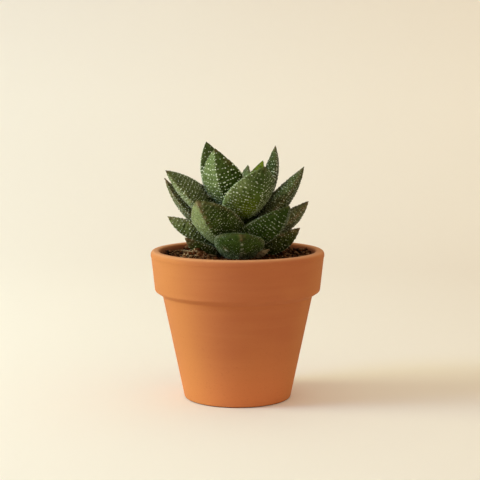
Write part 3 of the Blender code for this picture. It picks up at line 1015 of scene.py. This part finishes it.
# How large a wart is right at the tip, and how quickly it grows to full size back from there
ROW_SHRINKING = (0.5, 1.6)


def shrinking(t, least, growth):
    """A share of a wart's size: least right at the tip, and 1 from a little way back."""
    return min(1.0, least + growth * (1 - t))


def rows_of_warts(leaf, draw):
    """Each wart of the rows: t, the angle around, its radius and how much it is stretched along its row."""
    places = []
    look = look_of(leaf)
    straying = STRAY_ACROSS + AGED_STRAY_ACROSS * look.age
    for row, t_row in enumerate(row_places(leaf)[:-1]):
        perimeter, angle_at = around_by_length(leaf, t_row)
        scale = look.fineness * crowding(t_row)
        count = max(FEWEST_IN_ROW, round(perimeter / (WART_SPACING * scale)))
        for i in range(count):
            if draw.random() < MISSING_SHARE:
                continue
            share = (i + 0.5 * (row % 2) + draw.uniform(-STRAY_ALONG, STRAY_ALONG)) / count % 1
            t = t_row + draw.uniform(-straying, straying) * ROW_SPACING / leaf_length(leaf)
            radius = WART_RADIUS * draw.uniform(*WART_SIZES) * scale * shrinking(t, *ROW_SHRINKING)
            places.append((t, angle_at(share * perimeter), radius, draw.choice(STRETCHES)))
    return places


# %% Places of the warts on the edges
EDGES = (0.0, math.pi, 3 * math.pi / 2)
EDGE_SPACING = 1.7 * MM
EDGE_RADIUS = 0.5 * MM
EDGE_SIZES = (0.7, 1.2)
EDGE_STRAYING = 0.2
EDGE_SHRINKING = (0.4, 2)
LAST_ON_EDGE = 0.985


def edges_of_warts(leaf, draw):
    """Each wart along the two margins and the keel, given as those of the rows are."""
    places = []
    length = leaf_length(leaf)
    fineness = look_of(leaf).fineness
    for edge in EDGES:
        for step in range(int(length * (LAST_ON_EDGE - FIRST_ROW) / EDGE_SPACING)):
            t = FIRST_ROW + (step + draw.uniform(-EDGE_STRAYING, EDGE_STRAYING)) * EDGE_SPACING / length
            radius = EDGE_RADIUS * draw.uniform(*EDGE_SIZES) * fineness * shrinking(t, *EDGE_SHRINKING)
            places.append((t, edge, radius, 1.0))
    return places


# %% Set the warts on the skin
WART_SEED = 5
WART_HEIGHT = 0.45 * MM
WART_SIDES = 7
WART_RINGS = 4
# How white a wart is at its waist, and how much whiter on top
WAIST_WHITENESS = 0.45
TOP_WHITENING = 0.7
# How white one wart is beside its leaf's others, as the least, the most and the commonest
WHITENESSES = (0.3, 1.5, 0.6)
# The ray that tells whether a spot is inside a leaf slants, so that it runs along no face
RAY = Vector((0.1, 0.2, 1.0))


def wart_shape():
    """One wart: a ball of a few dozen faces, chalky on top and green at its waist."""
    bm = bmesh.new()
    bmesh.ops.create_uvsphere(bm, u_segments=WART_SIDES, v_segments=WART_RINGS, radius=1)
    return small_shape("wart", bm, "wart", lambda spot: limited(WAIST_WHITENESS + TOP_WHITENING * spot.z))


def is_inside(tree, spot):
    """Whether a spot lies inside a closed skin: a ray from it then leaves through the back of a face."""
    _, normal, _, _ = tree.ray_cast(spot, RAY)
    return normal is not None and normal.z > 0


def add_warts(bm, leaf, shape, neighbours, draw):
    """Sets the leaf's warts on its skin, leaving out those that another leaf or the soil would cover."""
    chalk = look_of(leaf).chalk
    for t, around, radius, stretch in rows_of_warts(leaf, draw) + edges_of_warts(leaf, draw):
        spot = skin_point(leaf, t, around)
        if spot.z < soil_height(spot.x, spot.y) or any(is_inside(tree, spot) for tree in neighbours):
            continue
        outwards = skin_normal(leaf, t, around)
        row = slope_round(leaf, t, around).normalized()
        turn = Matrix((row, outwards.cross(row), outwards)).transposed().to_4x4()
        size = Matrix.Diagonal((radius * stretch, radius, radius * WART_HEIGHT / WART_RADIUS, 1.0))
        whiteness = chalk * draw.triangular(*WHITENESSES)
        add_copy(bm, shape, Matrix.Translation(spot) @ turn @ size, "wart", whiteness)


# %% [markdown]
# ## Colours painted on the leaves
#
# Old margins and tips turn to grey-brown cork, the youngest flesh is yellow-green, and skin that faces
# the window is painted pale: a dusty bloom together with painted light from the window. A brush and an
# image could do it, but these follow from the shape itself: how near the margin is, how near the tip,
# and which way the skin faces. So they are worked out for each vertex, and a short list of marks seen on
# the plant is laid over them.

# %% Marks
# The leaf, t, the angle around in degrees (270 is the keel), size in millimetres, which value is
# painted and how strongly
Mark = namedtuple("Mark", "leaf t around size value strength")
MARKS = [
    Mark("leaf_crown_left", 0.8, 0, 3.0, "corky", 0.5),
    Mark("leaf_crown_front", 0.97, 290, 2.0, "corky", 0.3),
    Mark("leaf_crown_front", 0.3, 262, 11.0, "young", 1.0),
    # Painted light with dust, on the upper left flank
    Mark("leaf_crown_front", 0.72, 195, 7.0, "bloom", 1.0),
    Mark("leaf_middle_front_left", 0.96, 275, 2.2, "corky", 0.9),
    Mark("leaf_middle_front_left", 0.89, 275, 1.3, "corky", 0.9),
    Mark("leaf_middle_front_left", 0.82, 275, 1.2, "corky", 0.8),
    Mark("leaf_middle_front_left", 0.75, 275, 1.1, "corky", 0.7),
    Mark("leaf_middle_front_left", 0.68, 275, 1.0, "corky", 0.5),
    Mark("leaf_lower_front", 0.77, 234, 1.6, "corky", 0.9),
    Mark("leaf_lower_front", 0.76, 236, 0.7, "wart", 0.9),
    Mark("leaf_lower_front", 0.97, 275, 1.0, "corky", 0.9),
    Mark("leaf_lower_front", 0.93, 278, 0.6, "wart", 0.5),
    Mark("leaf_lower_front", 0.88, 277, 0.6, "wart", 0.5),
    Mark("leaf_lower_front", 0.83, 277, 0.6, "wart", 0.5),
    Mark("leaf_lower_front", 0.78, 276, 0.6, "wart", 0.4),
    Mark("leaf_lower_front", 0.73, 276, 0.6, "wart", 0.4),
    Mark("leaf_bottom_left", 0.97, 270, 5.0, "corky", 0.7),
]


def paint_mark(bm, leaf, mark):
    """Paints one mark as a soft spot on the leaf."""
    layer = bm.verts.layers.float[mark.value]
    centre = skin_point(leaf, mark.t, math.radians(mark.around))
    for vert in bm.verts:
        spot = mark.strength * bell((vert.co - centre).length, mark.size * MM)
        vert[layer] = max(vert[layer], spot)


# %% Margins of a leaf
MARGIN_STEPS = 60
# Where along the leaf the margins' points begin, and over what share of it they run
MARGIN_START = 0.2
MARGIN_SHARE = 0.79


def margin_points(leaf):
    """Points along both margins, in a tree that finds the nearest one."""
    tree = KDTree(2 * MARGIN_STEPS)
    for step in range(MARGIN_STEPS):
        for side in (0, 1):
            t = MARGIN_START + MARGIN_SHARE * step / (MARGIN_STEPS - 1)
            tree.insert(skin_point(leaf, t, side * math.pi), 2 * step + side)
    tree.balance()
    return tree


# %% Paint one leaf
# Age, cork, and the dust with painted light come and go in patches: their size, their middle value and how
# far noise swings it
PATCH_ACROSS = 3.5 * MM
PATCH_MIDDLE = 0.6
PATCH_SWING = 0.8
# How evenly age and the dust with painted light cover the skin, and how much the patches add
EVEN_AGE = 0.5
PATCHY_AGE = 0.4
EVEN_DUST_AND_LIGHT = 0.75
PATCHY_DUST_AND_LIGHT = 0.35
CORKY_MARGIN = 1.4 * MM
# How far cork reaches back from the tip of a fresh leaf, and how much further on an old one
CORKY_TIP = 1.5 * MM
AGED_CORKY_TIP = 4 * MM
YOUNG_TIP = 14 * MM
# The window's direction, and where the painted light begins and how softly it comes in as skin turns that
# way
WINDOW_SIDE = Vector((-0.93, -0.27, 0.25))
PAINTED_LIGHT_START = 0.05
PAINTED_LIGHT_EASING = 0.6
# How far full dust and painted light take the painted shade out of the furrows of the skin
FURROW_FILLING = 0.6


def paint(bm, leaf):
    """Paints age, cork, dust with painted light, and young flesh by each vertex's place. Dust and painted
    light lift the furrows' painted shade.
    """
    look = look_of(leaf)
    layers = bm.verts.layers.float
    aged, corky, bloom, young = (layers.new(name) for name in ("aged", "corky", "bloom", "young"))
    furrow = layers["furrow"]
    tip = skin_point(leaf, NEAR_TIP, 0)
    margins = margin_points(leaf)
    bm.normal_update()
    for vert in bm.verts:
        patch = PATCH_MIDDLE + PATCH_SWING * noise.noise(vert.co / PATCH_ACROSS)
        to_tip = (vert.co - tip).length
        at_margin = bell(margins.find(vert.co)[2], CORKY_MARGIN) * look.age
        at_tip = bell(to_tip, CORKY_TIP + AGED_CORKY_TIP * look.age)
        # Painted light: skin that faces the window is painted paler, on top of the even dust
        facing = limited((vert.normal.dot(WINDOW_SIDE) - PAINTED_LIGHT_START) / PAINTED_LIGHT_EASING)
        dusty_and_lit = look.haze + (1 - look.haze) * facing
        vert[aged] = min(1.0, look.age * (EVEN_AGE + PATCHY_AGE * patch))
        vert[corky] = limited((at_margin + at_tip) * patch)
        vert[bloom] = look.bloom * dusty_and_lit * (EVEN_DUST_AND_LIGHT + PATCHY_DUST_AND_LIGHT * patch)
        vert[furrow] *= 1 - FURROW_FILLING * min(1.0, vert[bloom])
        vert[young] = bell(to_tip, YOUNG_TIP) if leaf.name == YOUNG_LEAF else 0.0
    for mark in MARKS:
        if mark.leaf == leaf.name:
            paint_mark(bm, leaf, mark)


# %% [markdown]
# ## Leaf finish
#
# Living epidermis: dark green flesh under a clear, slightly waxy skin, scattered with chalky white
# warts. The wax's broad, soft sheen on flanks that face the light is painted into the colour as painted
# light, along with the dust. Light that enters the flesh comes out again a little way off, so a weak
# subsurface term takes the hardness off the shaded side. The colours are laid on in the order in which
# they lie on the plant: flesh, dullness, dust and painted light, young flesh, painted shade in the
# furrows, cork and chalk.

# %% Leaf material
FLESH_BLOTCH = 9 * MM
POWDER_SIZE = 1.1 * MM
CORK_CRACKLE = 1.2 * MM
SKIN_DEPTH = 0.6 * MM
LIGHT_REACH = 1.5 * MM


def living_skin():
    """Waxy green flesh with dust and painted light, painted shade in the furrows, cork and chalk where they
    are painted.
    """
    material, tree, shader, place = new_material("leaf_skin")
    aged = add_node(tree, "Attribute", {"attribute_name": "aged"}).outputs["Fac"]
    bloom = add_node(tree, "Attribute", {"attribute_name": "bloom"}).outputs["Fac"]
    blotches = mottling(tree, place, FLESH_BLOTCH, 2.0, 0.35, 0.65)
    flesh = add_node(tree, "Mix", COLOURS, Factor=blotches, A=linear("#22360B"), B=linear("#354C17"))
    dulled = add_node(tree, "Mix", COLOURS, Factor=aged, A=flesh, B=linear("#46441E"))
    # The pale grey-green of dust and painted light, on skin that faces the window
    dust_and_light_colour = add_node(tree, "Mix", COLOURS, Factor=aged, A=linear("#7C8E58"), B=linear("#9B8D6C"))
    powdery = mottling(tree, place, POWDER_SIZE, 3.0, 0.3, 0.7, 0.6, 1.0)
    cover = add_node(tree, "Math", {"operation": "MULTIPLY"}, i0=bloom, i1=powdery)
    dusty_and_lit = add_node(tree, "Mix", COLOURS, Factor=cover, A=dulled, B=dust_and_light_colour)
    fresh = tinted(tree, dusty_and_lit, "young", linear("#6A781A"))
    # Painted shade: the furrows between pebbles are darkened
    furrowed = tinted(tree, fresh, "furrow", linear("#1A2407"))
    crackle = mottling(tree, place, CORK_CRACKLE, 3.0, 0.3, 0.7)
    cork = add_node(tree, "Mix", COLOURS, Factor=crackle, A=linear("#43301A"), B=linear("#806B4E"))
    corky = tinted(tree, furrowed, "corky", cork)
    chalky = tinted(tree, corky, "wart", linear("#E0E6CC"))
    roughened = add_node(
        tree, "MapRange", SMOOTHLY, Value=aged, From_Min=0.0, From_Max=0.8, To_Min=0.5, To_Max=1.0
    )
    pores = add_node(tree, "TexNoise", Vector=place, Scale=BLOTCH_SHARE / POWDER_SIZE, Detail=3.0)
    bump = add_node(tree, "Bump", Strength=roughened, Distance=SKIN_DEPTH, Height=pores)
    feed(shader, Base_Color=chalky, Roughness=0.45, Specular_IOR_Level=0.04, Normal=bump)
    feed(shader, Subsurface_Weight=0.05, Subsurface_Radius=(0.6, 1.0, 0.3), Subsurface_Scale=LIGHT_REACH)
    return material


# %% [markdown]
# ## Dried leaf finish
#
# A dead leaf has lost its water and its green: what is left is a tan, papery, crinkled skin. It is
# dull, and its creases are darker than its ridges, so one mottling gives both the colour and the bump.

# %% Dried leaf material
CRINKLE_SIZE = 1.5 * MM
CRINKLE_DEPTH = 0.3 * MM


def dried_skin():
    """Papery tan skin, darker in its creases."""
    material, tree, shader, place = new_material("dry_leaf")
    crinkle = mottling(tree, place, CRINKLE_SIZE, 4.0, 0.3, 0.7)
    tan = add_node(tree, "Mix", COLOURS, Factor=crinkle, A=linear("#55422C"), B=linear("#B5A07A"))
    bump = add_node(tree, "Bump", Strength=0.8, Distance=CRINKLE_DEPTH, Height=crinkle)
    feed(shader, Base_Color=tan, Roughness=0.8, Specular_IOR_Level=0.25, Normal=bump)
    return material


# %% [markdown]
# ## Growing the rosette
#
# The leaves press against each other at the stem. A wart that is hidden inside a neighbour would be
# wasted, so every plain skin is made first, and each wart is then tested against all the others. The
# dried leaves have no warts left.

# %% Grow the rosette
def grow_rosette():
    """Makes a piece of every leaf: its skin, its warts and its painted values."""
    skin, dry = living_skin(), dried_skin()
    skins = {leaf.name: leaf_skin(leaf) for leaf in LEAVES}
    trees = {name: BVHTree.FromBMesh(bm) for name, bm in skins.items()}
    draw = random.Random(WART_SEED)
    shape = wart_shape()
    for leaf in LEAVES:
        bm = skins[leaf.name]
        bm.verts.layers.float.new("wart")
        if not is_dried(leaf):
            neighbours = [tree for name, tree in trees.items() if name != leaf.name]
            add_warts(bm, leaf, shape, neighbours, draw)
        paint(bm, leaf)
        name = leaf.name.replace("leaf_", "") + "_leaf"
        if is_dried(leaf):
            make_piece(name, bm, dry, leaf.name)
        else:
            make_piece(name, bm, skin, leaf.name)


grow_rosette()

# %% [markdown]
# ## Stem finish
#
# Between the leaf bases the stem is a stub of pale, half-woody green. It could be modelled anew, but
# only its growing point can be seen, from above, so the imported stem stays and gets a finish.

# %% Stem material
STEM_FIBRE_SIZE = 1.5 * MM


def stem_skin():
    """Pale, half-woody green."""
    material, tree, shader, place = new_material("stem_skin")
    fibre = mottling(tree, place, STEM_FIBRE_SIZE, 3.0, 0.3, 0.7)
    woody = add_node(tree, "Mix", COLOURS, Factor=fibre, A=linear("#4E5A2C"), B=linear("#8A9450"))
    feed(shader, Base_Color=woody, Roughness=0.7)
    return material


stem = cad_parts["stem"]
stem.data.materials.clear()
stem.data.materials.append(stem_skin())

# %% [markdown]
# ## Paper bowl
#
# The pot stands on cream paper. A sheet with a swept-up back would do for one view. So that it looks
# the same from every side, the paper is a wide shallow bowl: a flat floor that curves up all round to
# an even slope, spun like the pot. The paper is painted a touch brighter towards the window, as painted
# light.

# %% Paper
FADING_REACH = 0.7


def paper():
    """Dull cream paper, which fades from one side of the scene to the other: painted light, brighter
    towards the window.
    """
    material, tree, shader, place = new_material("cream_paper")
    across = add_node(tree, "SeparateXYZ", Vector=place)
    # Painted light: the paper is painted a touch brighter towards the window
    fading = add_node(
        tree, "MapRange", SMOOTHLY, Value=across, From_Min=-FADING_REACH, From_Max=FADING_REACH
    )
    cream = add_node(tree, "Mix", COLOURS, Factor=fading, A=linear("#F7F1E9"), B=linear("#F0E2D1"))
    feed(shader, Base_Color=cream, Roughness=0.9, Specular_IOR_Level=0.1)
    return material


# %% Paper bowl
BOWL_FLOOR_RADIUS = 0.6
BOWL_CURVE_RADIUS = 1.0
BOWL_CURVE_STEPS = 16
BOWL_SLOPE = math.radians(35)
BOWL_RIM_RADIUS = 2.4
BOWL_STEPS = 96


def paper_bowl():
    """A floor that bends up to an even slope, as one outline spun round the pot's axis."""
    outline = [(0.0, 0.0), (BOWL_FLOOR_RADIUS / 2, 0.0)]
    for step in range(BOWL_CURVE_STEPS + 1):
        bend = BOWL_SLOPE * step / BOWL_CURVE_STEPS
        radius = BOWL_FLOOR_RADIUS + BOWL_CURVE_RADIUS * math.sin(bend)
        height = BOWL_CURVE_RADIUS * (1 - math.cos(bend))
        outline.append((radius, height))
    outline.append((BOWL_RIM_RADIUS, height + (BOWL_RIM_RADIUS - radius) * math.tan(BOWL_SLOPE)))
    bm = spun(outline, BOWL_STEPS, closed=False)
    bm.normal_update()
    facing_down = [face for face in bm.faces if face.normal.z < 0]
    bmesh.ops.reverse_faces(bm, faces=facing_down)
    bowl = smooth_object("paper_bowl", bm, paper())


paper_bowl()

# %% [markdown]
# ## Lights
#
# Cool light from a window on the left, a little in front, throws the pale shadow to the right. A lit
# wall beside it adds low light that rounds the pot. That lamp is sunk in the slope of the paper, so
# that only its upper half reaches the plant. A sun lamp would give hard shadows, so both are square
# soft lights, and the glow of the warm room fills in the rest.

# %% Lights
LIGHT_AIM = Vector((0, 0, 80 * MM))
WINDOW_AZIMUTH = math.radians(197)
WINDOW_ELEVATION = math.radians(30)
WINDOW_DISTANCE = 2.6
WINDOW_SIZE = 0.8
WINDOW_POWER = 24
WALL_AZIMUTH = math.radians(183)
WALL_ELEVATION = math.radians(12)
WALL_DISTANCE = 1.5
WALL_SIZE = 0.6
WALL_POWER = 31
GLOW_STRENGTH = 0.77


def soft_light(name, azimuth, elevation, distance, size, power, colour):
    """A square soft light aimed at the middle of the pot and plant."""
    light = add_to_scene(name, bpy.data.lights.new(name, "AREA"))
    level = Vector((math.cos(azimuth), math.sin(azimuth), 0))
    direction = level * math.cos(elevation) + Vector((0, 0, math.sin(elevation)))
    light.location = LIGHT_AIM + direction * distance
    light.rotation_euler = direction.to_track_quat("Z", "Y").to_euler()
    light.data.size = size
    light.data.energy = power
    light.data.color = linear(colour)[:3]
    print(name, "stands", round(light.location.z, 2), "m high")


soft_light(
    "window", WINDOW_AZIMUTH, WINDOW_ELEVATION, WINDOW_DISTANCE, WINDOW_SIZE, WINDOW_POWER, "#8EBEFF"
)
soft_light("lit_wall", WALL_AZIMUTH, WALL_ELEVATION, WALL_DISTANCE, WALL_SIZE, WALL_POWER, "#ECFFE0")

# %% Glow of the room
world = bpy.data.worlds.new("warm_room")
world.use_nodes = True
bpy.context.scene.world = world
feed(world.node_tree.nodes["Background"], Color=linear("#FFF3DC"), Strength=GLOW_STRENGTH)
bpy.context.scene.view_settings.view_transform = "Standard"
